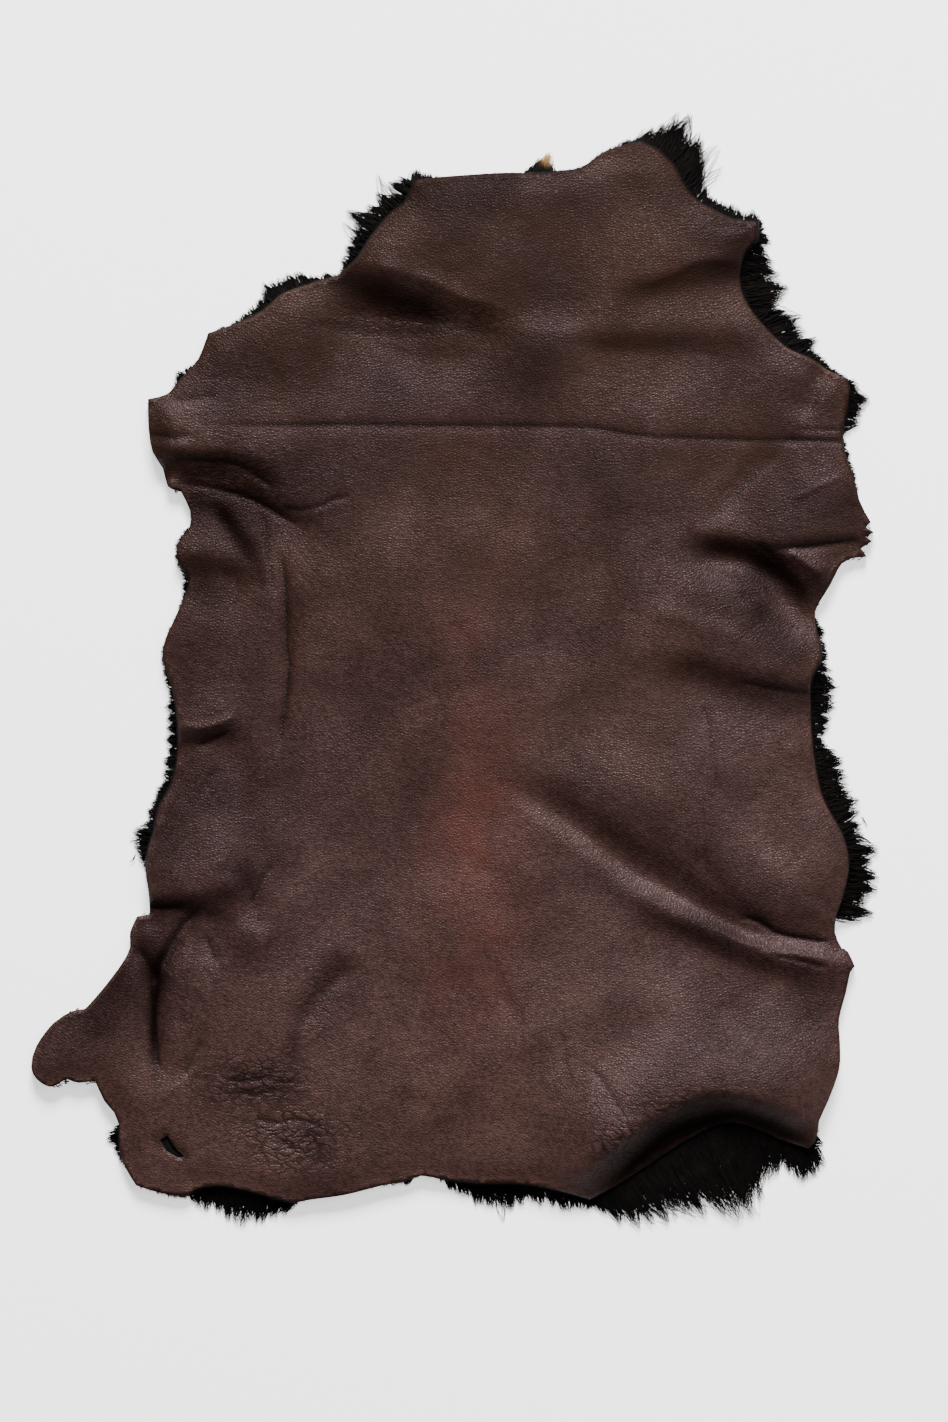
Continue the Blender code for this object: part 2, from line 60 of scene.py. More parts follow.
# the outline, clockwise from the left of the neck: x, y, reach of the wool past the skin
stretches = (
    Stretch("nape", 75,
        ((-35, 489, 12), (-10, 493, 2), (50, 497, 2), (76, 497, 2), (86, 497, 19), (98, 497, 17),
         (106, 499, 2), (132, 503, 2), (156, 519, 3))),
    Stretch("neck point", 76,
        ((190, 529, 8), (203, 523, 24), (215, 514, 46), (226, 502, 44), (238, 480, 30),
         (250, 468, 13), (270, 457, 12), (286, 450, 16))),
    Stretch("torn neck scrap", 25, ((308, 448, 9),)),
    Stretch("right of the neck", -5,
        ((308, 432, 13), (295, 418, 25), (290, 395, 34), (294, 373, 38), (310, 349, 28),
         (335, 324, 23), (360, 312, 14), (376, 301, 8))),
    Stretch("right shoulder", 0,
        ((396, 292, 4), (399, 284, 10), (398, 268, 21), (395, 252, 18), (393, 236, 3),
         (395, 215, 7), (403, 194, 5))),
    Stretch("ragged elbow", 0, ((409, 171, 1), (415, 158, 1))),
    *(Stretch("elbow rag or notch", 0, (mark,))  # its corners stay sharp
      for mark in ((421, 148, 1), (415, 143, 1), (424, 138, 1), (415, 134, 1), (422, 129, 1),
                   (411, 122, 1), (417, 114, 1))),
    Stretch("right waist", 0,
        ((406, 113, 1), (392, 107, 1), (380, 85, 1), (365, 59, 2), (367, 38, 8), (371, 15, 10),
         (361, -11, 25), (361, -32, 23), (362, -65, 14), (365, -92, 27), (373, -128, 31),
         (393, -166, 22), (399, -196, 24), (393, -226, 29))),
    Stretch("right flank bay", -20,
        ((387, -244, 28), (386, -248, 1), (385, -263, 1), (392, -279, 1), (398, -282, 1))),
    Stretch("right hind leg", -10,
        ((405, -297, 1), (401, -300, 1), (396, -323, 1), (389, -350, 1), (390, -375, 1),
         (389, -400, 1), (378, -431, 1), (369, -451, 1), (366, -470, 4))),
    Stretch("right of the rump", -62,
        ((359, -479, 30), (330, -470, 40), (307, -460, 56), (283, -453, 76), (262, -458, 84),
         (230, -475, 80), (195, -498, 62), (165, -517, 34))),
    Stretch("rump", -75,
        ((140, -530, 13), (110, -521, 19), (80, -515, 18), (55, -514, 26), (30, -514, 22),
         (10, -512, 16), (-10, -509, 3), (-29, -506, 1), (-45, -511, 6), (-70, -516, 2),
         (-105, -525, 1), (-140, -530, 1))),
    Stretch("left of the rump", -95,
        ((-157, -533, 5), (-175, -529, 25), (-200, -522, 39), (-228, -517, 31), (-252, -519, 19),
         (-267, -526, 5), (-290, -523, 4))),
    Stretch("left hind leg", 190,
        ((-314, -516, 1), (-325, -498, 1), (-330, -480, 10), (-331, -465, 14), (-331, -455, 2),
         (-336, -443, 1), (-346, -431, 1))),
    Stretch("leg flap", 180, ((-355, -411, 1), (-372, -413, 1))),
    Stretch("flap lobe", 180,
        ((-384, -409, 1), (-399, -417, 1), (-413, -410, 1), (-419, -397, 1), (-414, -377, 1),
         (-397, -354, 1), (-378, -342, 1))),
    Stretch("behind the flap", 180,
        ((-365, -340, 1), (-346, -318, 1), (-328, -294, 1), (-320, -278, 1), (-320, -263, 1))),
    Stretch("tucked edge", 180, ((-313, -247, 1),)),
    Stretch("left flank", 172,
        ((-300, -245, 1), (-301, -223, 1), (-304, -198, 3), (-301, -177, 15), (-295, -156, 14),
         (-290, -135, 10), (-278, -112, 11), (-273, -85, 11), (-272, -55, 13), (-277, -20, 8),
         (-287, 12, 4), (-284, 32, 2), (-272, 58, 3), (-261, 88, 8), (-274, 114, 2), (-267, 132, 8),
         (-260, 143, 2), (-260, 160, 1))),
    Stretch("left elbow", 180,
        ((-269, 179, 1), (-282, 184, 1), (-287, 202, 1), (-297, 218, 1), (-301, 240, 1))),
    Stretch("left shoulder", 130, ((-302, 271, 1), (-282, 276, 2), (-268, 292, 7), (-252, 311, 1))),
    Stretch("left of the neck", 125,
        ((-242, 337, 1), (-215, 346, 6), (-188, 359, 14), (-170, 375, 18), (-145, 385, 14))),
    Stretch("left nape", 160,
        ((-110, 395, 2), (-92, 413, 14), (-78, 435, 25), (-60, 456, 27), (-45, 468, 25))),
)

tear = [(-290, -470), (-283, -466), (-278, -476), (-266, -487), (-272, -488), (-284, -481)]

# the folds that the hide was packed with; half widths left and right of the path
folds = (
    Fold("nape roll", 10, 80, 24, ((-130, 422), (-80, 408), (-35, 390), (15, 373), (95, 357))),
    Fold("nape valley", -9.5, 24, 60, ((-155, 372), (-105, 355), (-55, 342), (0, 339), (100, 336))),
    Fold("right nape roll", 3.5, 55, 18, ((150, 386), (200, 402), (250, 415), (325, 421))),
    Fold("right nape valley", -3, 18, 40, ((160, 361), (210, 372), (250, 383), (320, 392))),
    Fold("neck root roll", 3, 30, 15, ((100, 340), (200, 342), (290, 345), (350, 340))),
    Fold("neck root valley", -3, 15, 45, ((100, 321), (190, 318), (270, 314), (360, 308))),
    Fold("neck lobe crease", -4, 9, 15, ((383, 315), (365, 282), (349, 245))),
    Fold("left shoulder roll", 8.5, 52, 16, ((-330, 221), (-260, 223), (-200, 218), (-145, 189))),
    Fold("left shoulder hollow", -4, 13, 9, ((-320, 196), (-260, 195), (-205, 190))),
    Fold("left elbow valley", -8.5, 17, 44,
        ((-295, 178), (-245, 176), (-205, 166), (-165, 148), (-120, 122))),
    Fold("left armpit roll", 2.5, 40, 15, ((-248, 182), (-210, 150), (-184, 112), (-178, 50))),
    Fold("left waist hollow", -4.5, 14, 30, ((-295, 99), (-245, 92), (-190, 80))),
    Fold("left side pinch", -3, 9, 9,
        ((-177, 145), (-166, 90), (-163, 20), (-165, -35), (-178, -95))),
    Fold("left rib roll", 4, 32, 10, ((-300, -57), (-250, -57), (-200, -44))),
    Fold("left rib valley", -4, 11, 36, ((-300, -77), (-245, -78), (-190, -72))),
    Fold("left tuck roll", 8.5, 55, 16, ((-335, -228), (-275, -223), (-235, -215), (-180, -198))),
    Fold("left tuck valley", -9, 13, 36, ((-340, -244), (-285, -243), (-245, -250), (-198, -265))),
    Fold("leg root valley", -5, 10, 16,
        ((-256, -243), (-282, -285), (-295, -315), (-296, -370), (-289, -425))),
    Fold("leg root branch", -4, 10, 10, ((-320, -268), (-306, -295), (-292, -325))),
    Fold("left rump crease", -3, 12, 16, ((-88, -285), (-125, -320), (-156, -364))),
    Fold("left leg crease", -1.5, 14, 14, ((-243, -355), (-260, -390), (-278, -420))),
    Fold("right shoulder crease", -2, 8, 9, ((335, 233), (295, 195), (270, 165), (243, 134))),
    Fold("right elbow roll", 4.5, 45, 34, ((300, 132), (350, 162), (390, 188), (440, 208))),
    Fold("right elbow valley", -5, 11, 20, ((325, 116), (390, 121), (445, 126))),
    Fold("right armpit roll", 5.5, 40, 12,
        ((215, 142), (270, 137), (325, 127), (360, 106), (382, 76), (392, 50))),
    Fold("right armpit valley", -9.5, 15, 26,
        ((215, 114), (280, 111), (317, 97), (335, 72), (352, 50), (375, 25))),
    Fold("right rib roll", 5.5, 70, 22, ((170, 24), (240, 22), (300, 6), (350, -6), (450, -12))),
    Fold("right rib valley", -6.5, 20, 55,
        ((190, -10), (255, -16), (310, -28), (365, -37), (450, -42))),
    Fold("right haunch roll", 8, 62, 22,
        ((60, -75), (150, -130), (230, -180), (290, -220), (350, -235), (425, -243))),
    Fold("right haunch valley", -6.5, 20, 12,
        ((30, -100), (110, -145), (170, -190), (220, -223), (270, -248), (320, -268), (360, -276),
         (425, -284))),
    Fold("right flank roll", 4.5, 9, 14,
        ((150, -210), (220, -240), (270, -267), (320, -283), (370, -290), (435, -299))),
    Fold("right flank valley", -6, 18, 45,
        ((160, -256), (240, -275), (290, -298), (350, -320), (415, -333))),
    Fold("rump roll", 19, 55, 20,
        ((85, -518), (122, -500), (172, -464), (215, -434), (262, -419), (300, -424), (345, -438),
         (410, -452))),
    Fold("rump curl", -11, 26, 60,
        ((95, -580), (140, -545), (172, -520), (215, -492), (262, -472), (305, -474), (345, -486),
         (400, -500))),
)

packingLine = ((-181, 245), (-109, 246), (-3, 245), (124, 244), (163, 240), (191, 235), (258, 232),
               (341, 230))

# finer creases, which only the leather's surface has
creases = (
    Fold("packing crease", -0.55, 3.5, 3.5, ((-260, 247), *packingLine, (415, 228))),
    Fold("packing crease trough", -0.5, 9, 7,
        ((-250, 246), (-109, 245), (-3, 244), (124, 243), (191, 234), (258, 231), (400, 228))),
    Fold("packing crease edge", -1.2, 3, 3, ((330, 230), (345, 230), (375, 229), (400, 228))),
    Fold("packing crease twin", -0.6, 2.5, 3, ((345, 241), (380, 240), (400, 239))),
    Fold("nape streak", 1.2, 7, 5, ((-80, 408), (-40, 395), (-10, 385), (20, 370), (50, 367))),
    Fold("nape under line", -0.4, 5, 6, ((-150, 350), (-100, 340), (-50, 335), (0, 340))),
    Fold("right nape edge", 1.2, 8, 4, ((190, 384), (225, 397), (250, 409), (292, 409))),
    Fold("shoulder hollow one", -1.6, 5, 6, ((-310, 228), (-296, 236), (-276, 232), (-255, 236))),
    Fold("shoulder hollow two", -1.2, 5, 5, ((-280, 268), (-252, 271), (-232, 275))),
    Fold("shoulder line one", -1.6, 4, 5,
        ((-285, 212), (-250, 210), (-215, 206), (-190, 192), (-168, 178))),
    Fold("shoulder line two", -1.8, 3.5, 5,
        ((-278, 189), (-250, 185), (-225, 180), (-200, 172), (-180, 162), (-150, 143))),
    Fold("shoulder thin crease", -1.0, 3, 3,
        ((-172, 163), (-150, 160), (-130, 164), (-115, 171), (-98, 174))),
    Fold("armpit diagonal", -2.0, 9, 9,
        ((-252, 172), (-230, 150), (-210, 125), (-192, 98), (-185, 70))),
    Fold("waist blob", -1.4, 8, 10, ((-262, 108), (-235, 102), (-208, 92))),
    Fold("side pinch upper", -0.9, 3, 3, ((-188, 160), (-182, 120), (-175, 70))),
    Fold("side pinch", -1.8, 3, 4,
        ((-172, 122), (-165, 90), (-163, 20), (-161, 5), (-163, -20), (-167, -50), (-173, -88))),
    Fold("rib bright ridge", 1.4, 4, 4, ((-272, -55), (-250, -58), (-230, -53), (-212, -44))),
    Fold("rib line", -1.4, 3, 4, ((-255, -76), (-240, -71), (-222, -62))),
    Fold("rib nick", -0.9, 4, 4, ((-234, -98), (-240, -108), (-248, -122))),
    Fold("left edge curl", -2.2, 9, 9, ((-272, -98), (-280, -125), (-292, -152))),
    Fold("haunch patch", -1.4, 11, 13, ((-228, -192), (-212, -205), (-196, -222))),
    Fold("haunch line", -1.0, 3, 3, ((-178, -193), (-188, -212), (-202, -238))),
    Fold("tuck line", -2.0, 3, 4, ((-300, -238), (-284, -237), (-268, -236))),
    Fold("tuck fan one", -1.8, 4, 4,
        ((-250, -240), (-262, -248), (-272, -260), (-282, -280), (-292, -300), (-296, -318))),
    Fold("tuck fan two", -1.2, 4, 4, ((-270, -268), (-278, -282), (-287, -298))),
    Fold("tuck fan three", -1.2, 4, 4, ((-246, -266), (-240, -276), (-236, -290))),
    Fold("flap panel line", -1.2, 4, 4, ((-312, -278), (-302, -295), (-292, -315))),
    Fold("leg crease", -1.8, 4, 5, ((-295, -312), (-296, -345), (-294, -372), (-292, -405))),
    Fold("rump diagonal", -0.8, 6, 8,
        ((-98, -296), (-112, -310), (-128, -322), (-142, -342), (-153, -366))),
    Fold("leg nick", -1.2, 5, 5, ((-248, -368), (-258, -388), (-268, -408))),
    Fold("leg light line", 0.5, 4, 4, ((-248, -398), (-270, -415), (-297, -434))),
    Fold("leg wrinkle one", -0.9, 2.5, 3,
        ((-228, -408), (-205, -412), (-186, -408), (-165, -413), (-148, -409))),
    Fold("leg wrinkle two", -0.8, 2.5, 3, ((-214, -421), (-192, -425), (-176, -420), (-158, -424))),
    Fold("leg wrinkle three", -0.8, 2.5, 3,
        ((-198, -447), (-176, -453), (-152, -450), (-126, -457))),
    Fold("leg wrinkle four", -0.9, 3, 3, ((-186, -459), (-168, -472), (-150, -484))),
    Fold("leg patch", -0.9, 9, 9, ((-148, -462), (-134, -480), (-122, -500))),
    Fold("tear pucker", -1.6, 6, 6, ((-292, -462), (-280, -472), (-262, -490))),
    Fold("leg edge", -1.2, 8, 8, ((-302, -498), (-275, -505), (-250, -512))),
    Fold("rump upright", -0.9, 7, 7, ((-8, -448), (-5, -480), (-4, -512))),
    Fold("rump patch", -0.8, 9, 9, ((-52, -427), (-30, -434), (-10, -440))),
    Fold("shoulder crease", -1.2, 4, 5,
        ((330, 220), (315, 205), (295, 185), (275, 160), (255, 145))),
    Fold("shoulder light line", 0.8, 4, 4, ((395, 195), (368, 183), (340, 170))),
    Fold("elbow line", -2.2, 4, 5, ((318, 122), (350, 123), (380, 127), (412, 132))),
    Fold("elbow streak", 1.8, 5, 5, ((338, 119), (355, 108), (376, 95))),
    Fold("armpit light line", 1.4, 5, 5, ((270, 100), (292, 97), (310, 84), (322, 62), (342, 46))),
    Fold("armpit notch", -1.2, 5, 5, ((305, 128), (322, 116), (336, 98))),
    Fold("armpit spot", -1.2, 7, 7, ((296, 80), (299, 64), (300, 48))),
    Fold("waist light line", 1.4, 10, 10, ((198, 62), (250, 45), (290, 30), (308, 12))),
    Fold("waist dent", -1.2, 13, 13, ((298, 58), (325, 45), (352, 30))),
    Fold("right rib line", -1.2, 4, 5, ((290, -12), (320, -18), (345, -22), (372, -24))),
    Fold("rib crease", -0.8, 3, 3, ((250, -30), (260, -60), (263, -90), (270, -130))),
    Fold("rib patch", 1.2, 11, 11, ((335, -78), (352, -84), (366, -90))),
    Fold("haunch streak", 1.6, 5, 5,
        ((188, -208), (220, -230), (250, -245), (280, -265), (300, -275), (322, -277))),
    Fold("haunch sharp line", -2.2, 3, 4,
        ((288, -246), (310, -251), (325, -262), (350, -268), (385, -273))),
    Fold("flank streak", 1.2, 5, 4, ((335, -279), (360, -285), (385, -291))),
    Fold("flank line", -1.4, 3, 3, ((318, -284), (350, -291), (380, -299))),
    Fold("haunch shade", -1.4, 9, 9, ((245, -178), (262, -205), (285, -232), (305, -251))),
    Fold("haunch bright edge", 1.6, 7, 7, ((348, -233), (368, -242), (384, -251))),
    Fold("haunch dent", -1.2, 15, 12, ((308, -172), (330, -180), (352, -194))),
    Fold("flank dent", -1.6, 16, 14, ((348, -348), (368, -362), (392, -380))),
    Fold("flank dent two", -1.2, 16, 14, ((268, -332), (285, -350), (302, -372))),
    Fold("rump crease one", -0.8, 3, 4, ((112, -360), (117, -392), (123, -425))),
    Fold("rump crease two", -0.8, 3, 4, ((138, -393), (155, -415), (172, -442))),
    Fold("rump nick", -0.7, 3, 3, ((286, -373), (293, -380), (300, -390))),
    Fold("back crease", -0.7, 6, 7, ((30, -278), (52, -318), (64, -345), (72, -372))),
    Fold("rump wrinkle one", -0.9, 3, 3, ((162, -462), (178, -478), (188, -496))),
    Fold("rump wrinkle two", -0.9, 3, 3, ((176, -456), (194, -470), (206, -484))),
    Fold("rump wrinkle three", -0.9, 3, 3, ((150, -472), (160, -490), (166, -508))),
    Fold("rump thin crease", -0.8, 3, 3, ((250, -427), (280, -425), (312, -432))),
    Fold("nape roll tail", -3.5, 40, 22,
        ((-60, 398), (-15, 380), (40, 366), (95, 357), (150, 352))),
    Fold("nape valley tail", 3.5, 20, 40,
        ((-40, 342), (0, 340), (50, 338), (100, 336), (150, 336))),
    Fold("left tuck fill", 3, 7, 22, ((-345, -246), (-310, -245), (-285, -244), (-255, -250))),
    Fold("left tuck tail", 3.5, 12, 28, ((-268, -244), (-240, -250), (-205, -262), (-175, -275))),
    Fold("spine dent", -0.9, 9, 9, ((8, 55), (16, 15), (22, -30))),
    Fold("nape edge shade", -0.9, 11, 11, ((112, 512), (150, 512), (205, 508))),
)

swells = (
    Swell(1.8, 430, 70, 0.4),
    Swell(1.3, 260, 20, 2.1),
    Swell(0.8, 150, 120, 4.0),
)

# where the skin is finely wrinkled: centre, half width, half height and strength
wrinkledSpots = (
    Wrinkled("left hind leg", (-194, -412), 66, 30, 0.9),
    Wrinkled("left hind leg lower", (-158, -470), 62, 38, 1.0),
    Wrinkled("left leg root", (-272, -350), 30, 60, 0.25),
    Wrinkled("rump diagonal", (-132, -335), 24, 58, 0.5),
    Wrinkled("below the left tuck", (-225, -290), 50, 34, 0.3),
    Wrinkled("rump curl", (230, -436), 85, 20, 0.85),
    Wrinkled("rump curl left", (172, -474), 38, 34, 1.0),
    Wrinkled("rump curl slope", (235, -458), 95, 24, 1.0),
    Wrinkled("nape", (-30, 350), 120, 18, 0.6),
    Wrinkled("left shoulder", (-215, 190), 75, 36, 0.65),
    Wrinkled("right elbow", (320, 110), 70, 40, 0.3),
    Wrinkled("right flank", (350, -285), 55, 26, 0.35),
    Wrinkled("left flank", (-262, -110), 34, 40, 0.2),
    Wrinkled("shank", (-282, -300), 30, 44, 0.35),
)

# where the leather is painted darker: painted shade in the valleys, creases and slopes turned from
# the light, painted shade that dims the highlights on lit ridges, and broader darker patches;
# share, half widths left and right of the path
shadeAndDarkPatches = (
    Fold("under the rump curl", 0.86, 10, 34,
        ((130, -550), (165, -518), (197, -484), (232, -459), (281, -447), (312, -452), (340, -464),
         (372, -481), (395, -494))),
    Fold("nape", 0.75, 26, 15,
        ((-185, 424), (-140, 404), (-100, 388), (-60, 373), (-20, 360), (10, 352))),
    Fold("nape line", 0.2, 3, 7,
        ((-215, 352), (-120, 348), (-40, 344), (40, 341), (110, 332), (190, 323), (300, 316),
         (400, 308))),
    Fold("packing crease", 0.5, 2.5, 3, ((-300, 248), *packingLine, (430, 227))),
    Fold("left shoulder top", 0.25, 45, 45, ((-300, 300), (-230, 312), (-150, 310), (-90, 300))),
    Fold("right armpit", 0.45, 7, 11,
        ((235, 120), (290, 116), (321, 108), (343, 90), (358, 69), (368, 58))),
    Fold("right armpit bowl", 0.6, 18, 18, ((290, 104), (325, 98), (355, 90), (392, 80))),
    Fold("right armpit shade", 0.15, 10, 10, ((285, 104), (298, 76), (326, 52))),
    Fold("right of the nape", 0.3, 10, 16, ((140, 366), (215, 384), (260, 396), (330, 404))),
    Fold("left side", 0.3, 50, 50, ((-275, 120), (-245, 20), (-245, -80), (-250, -180))),
    Fold("flap", 0.35, 60, 60, ((-440, -390), (-390, -380), (-330, -320), (-310, -260))),
    Fold("right rib", 0.3, 8, 16, ((230, -14), (300, -22), (340, -30), (400, -34))),
    Fold("left shoulder corner", 0.4, 14, 14, ((-322, 280), (-298, 264), (-288, 242), (-292, 214))),
    Fold("left shoulder", 0.28, 20, 14,
        ((-340, 210), (-280, 210), (-230, 204), (-195, 182), (-165, 160))),
    Fold("left armpit", 0.4, 12, 10, ((-238, 182), (-216, 140), (-195, 95), (-182, 45))),
    Fold("left waist", 0.35, 36, 36, ((-290, 190), (-262, 150), (-250, 95), (-262, 60))),
    Fold("left flank", 0.25, 22, 22, ((-300, -150), (-270, -170), (-235, -185))),
    Fold("left haunch", 0.35, 12, 12, ((-216, -186), (-202, -205), (-190, -240))),
    Fold("left tuck", 0.2, 4, 7, ((-325, -240), (-290, -239), (-262, -238), (-240, -240))),
    Fold("shank", 0.5, 21, 15, ((-318, -230), (-303, -262), (-294, -296), (-294, -335))),
    Fold("shank edge", 0.35, 3, 4,
        ((-262, -240), (-270, -256), (-283, -274), (-294, -302), (-297, -340), (-297, -400))),
    Fold("leg root", 0.5, 5, 6, ((-290, -300), (-296, -345), (-295, -400), (-290, -430))),
    Fold("left leg", 0.3, 20, 20, ((-225, -405), (-190, -420), (-140, -425))),
    Fold("rump diagonal", 0.4, 8, 10, ((-95, -285), (-125, -315), (-150, -355), (-165, -400))),
    Fold("right haunch", 0.3, 10, 12, ((215, -238), (270, -262), (330, -284), (390, -294))),
    Fold("right haunch brow", 0.4, 28, 7,
        ((70, -80), (150, -128), (230, -178), (290, -218), (350, -233), (425, -241))),
    Fold("right flank light", 0.3, 12, 16,
        ((120, -190), (165, -217), (215, -238), (265, -262), (300, -280))),
    Fold("right rump", 0.3, 20, 24, ((335, -310), (360, -330), (380, -350))),
    Fold("left of the rump curl", 0.4, 12, 14,
        ((110, -545), (150, -508), (185, -473), (215, -450), (255, -433), (300, -436))),
    Fold("below the armpit", 0.22, 30, 30, ((225, 88), (275, 80), (320, 52))),
    Fold("above the rump curl", 0.36, 50, 12,
        ((180, -450), (215, -425), (262, -408), (300, -412), (360, -430))),
    Fold("left of the rump", 0.3, 55, 60, ((-285, -110), (-210, -155), (-130, -190))),
    Fold("tear", 0.6, 7, 7, ((-300, -462), (-278, -477), (-256, -492))),
    Fold("neck top", 0.6, 45, 28, ((-160, 440), (-80, 470), (-20, 480), (50, 482), (100, 480))),
    Fold("neck point", 0.36, 34, 30, ((150, 500), (200, 488), (245, 465), (290, 430), (330, 400))),
    Fold("back of the shoulders", 0.22, 44, 40,
        ((-290, 280), (-180, 286), (-60, 290), (60, 290), (150, 280))),
    Fold("under the packing crease", 0.2, 34, 48,
        ((-260, 215), (-120, 210), (20, 205), (150, 200), (240, 190))),
    Fold("left armpit bowl", 0.45, 28, 28, ((-285, 172), (-240, 164), (-205, 148), (-170, 120))),
    Fold("right elbow", 0.4, 30, 26, ((270, 168), (330, 166), (375, 162), (430, 158))),
    Fold("right waist", 0.55, 20, 26, ((296, 62), (318, 44), (338, 24), (356, 4))),
    Fold("rump left of the leg", 0.25, 32, 32, ((130, -335), (195, -372), (255, -400))),
    Fold("right hind leg", 0.36, 46, 46,
        ((215, -330), (280, -342), (340, -362), (385, -395), (400, -430))),
    Fold("left flank edge", 0.3, 20, 20, ((-310, -165), (-288, -190), (-288, -222))),
    Fold("back of the shank", 0.34, 26, 26,
        ((-370, -375), (-345, -330), (-325, -290), (-318, -262))),
    Fold("under the left tuck", 0.25, 20, 20, ((-272, -258), (-228, -262), (-180, -272))),
)


def smooth(share):
    share = np.clip(share, 0, 1)
    return share * share * (3 - 2 * share)


def bell(far, half):
    return np.exp(-(far / half) ** 2)


def curvePoint(before, start, end, after, share):
    squared, cubed = share ** 2, share ** 3
    return tuple(0.5 * (2 * b + (c - a) * share + (2 * a - 5 * b + 4 * c - d) * squared
                        + (3 * b - a - 3 * c + d) * cubed)
                 for a, b, c, d in zip(before, start, end, after))


def rim(step):
    # the skin's edge: point, reach of the wool, and the way its locks grow
    combedShare, ahead = 0.55, 3  # combed against straight out; marks that give the edge's heading
    marks = []
    for number, stretch in enumerate(stretches):
        ends = stretch.marks + stretches[(number + 1) % len(stretches)].marks[:1]
        for place in range(len(ends) - 1):
            start, end = ends[place], ends[place + 1]
            before, after = ends[max(place - 1, 0)], ends[min(place + 2, len(ends) - 1)]
            pieces = max(1, round(math.dist(start[:2], end[:2]) / step))
            for piece in range(pieces):
                share = piece / pieces
                at = Vector(curvePoint(before[:2], start[:2], end[:2], after[:2], share))
                marks.append((at, start[2] + (end[2] - start[2]) * share, stretch.combed))
    points = []
    for number, (at, reach, combed) in enumerate(marks):
        along = marks[(number + ahead) % len(marks)][0] - marks[number - ahead][0]
        out = Vector((-along.y, along.x)).normalized()
        comb = Vector((math.cos(math.radians(combed)), math.sin(math.radians(combed))))
        points.append((at, reach, (out * (1 - combedShare) + comb * combedShare).normalized()))
    return points


def pathFields(path, x, y):
    # distance to a path, side of it, and share of the way along it
    far = np.full(x.shape, np.inf)
    left = np.ones(x.shape, dtype=bool)
    place = np.zeros(x.shape)
    lengths = [math.dist(a, b) for a, b in zip(path, path[1:])]
    walked = 0
    for (ax, ay), (bx, by), length in zip(path, path[1:], lengths):
        ux, uy = (bx - ax) / length, (by - ay) / length
        ahead = np.clip((x - ax) * ux + (y - ay) * uy, 0, length)
        distance = np.hypot(x - ax - ahead * ux, y - ay - ahead * uy)
        nearer = distance < far
        far = np.where(nearer, distance, far)
        left = np.where(nearer, ux * (y - ay) - uy * (x - ax) > 0, left)
        place = np.where(nearer, (walked + ahead) / sum(lengths), place)
        walked += length
    return far, left, place


def smoothPath(path, step=9):
    # a fold's corners rounded off
    points = []
    for number in range(len(path) - 1):
        before, after = path[max(number - 1, 0)], path[min(number + 2, len(path) - 1)]
        pieces = max(1, round(math.dist(path[number], path[number + 1]) / step))
        points += [curvePoint(before, path[number], path[number + 1], after, piece / pieces)
                   for piece in range(pieces)]
    return points + [tuple(path[-1])]


def fadeEnds(place, fade):
    return smooth(place / fade) * smooth((1 - place) / fade)


def foldSum(table, x, y, fade):
    height = np.zeros(x.shape)
    for fold in table:
        reach = 3 * max(fold.above, fold.below)
        xs, ys = zip(*fold.path)
        near = ((x > min(xs) - reach) & (x < max(xs) + reach)
                & (y > min(ys) - reach) & (y < max(ys) + reach))
        far, left, place = pathFields(smoothPath(fold.path), x[near], y[near])
        half = np.where(left, fold.above, fold.below)
        height[near] += fold.rise * bell(far, half) * fadeEnds(place, fade)
    return height


skin = {"thick": 2.0, "bed": 20.0, "lowest": 9.0, "rimDip": 4.0, "rimSoft": 16.0,
        "step": 4.1, "rimStep": 3.8, "creaseStep": 3.6, "creaseRows": (-3.6, -1.6, 0.0, 1.6, 3.6),
        "narrow": 6.0, "rimClear": 1.6, "tearClear": 1.2, "foldFade": 0.3, "creaseFade": 0.15}
narrowCreases = [crease for crease in creases if min(crease.above, crease.below) < skin["narrow"]]


def creaseField(x, y):
    # distance to the nearest narrow crease, and the painted shade along its bottom
    darkest, darkHalf = 1.8, 1.9  # depth at which the painted shade is full, and half width of the painted shade line
    nearest = np.full(x.shape, np.inf)
    dark = np.zeros(x.shape)
    for crease in narrowCreases:
        far, _, place = pathFields(smoothPath(crease.path), x, y)
        nearest = np.minimum(nearest, far)
        line = -crease.rise / darkest * bell(far, darkHalf) * fadeEnds(place, skin["creaseFade"])
        dark = np.maximum(dark, line)
    return nearest, np.clip(dark, 0, 1)


def creasePoints():
    # rows of points along the narrow creases, so that they stay sharp
    rows = []
    for crease in narrowCreases:
        path = smoothPath(crease.path, skin["creaseStep"])
        for (ax, ay), (bx, by) in zip(path, path[1:]):
            length = math.dist((ax, ay), (bx, by))
            rows += [(ax - (by - ay) / length * shift, ay + (bx - ax) / length * shift)
                     for shift in skin["creaseRows"]]
    return np.array(rows).T


def skinHeight(x, y, rimFar):
    # top of the leather over the floor
    height = np.full(x.shape, skin["bed"])
    for swell in swells:
        heading = math.radians(swell.heading)
        run = x * math.cos(heading) + y * math.sin(heading)
        height += swell.rise * np.sin(2 * math.pi * run / swell.length + swell.shift)
    height += foldSum(folds, x, y, skin["foldFade"])
    dents = ((90, 1.3), (38, 0.5))  # width and height of the slack dents between the folds
    height += sum(tall * np.array([noise.noise((a / wide, b / wide, 0.3)) for a, b in zip(x, y)])
                  for wide, tall in dents)
    height -= skin["rimDip"] * bell(rimFar, skin["rimSoft"])
    return np.maximum(height, skin["lowest"])


def creasedHeight(x, y, rimFar):
    return skinHeight(x, y, rimFar) + foldSum(creases, x, y, skin["creaseFade"])


def inside(loop, x, y):
    within = np.zeros(x.shape, dtype=bool)
    for (ax, ay), (bx, by) in zip(loop, loop[1:] + loop[:1]):
        rise = by - ay if by != ay else 1
        within ^= ((ay > y) != (by > y)) & (x < (bx - ax) * (y - ay) / rise + ax)
    return within


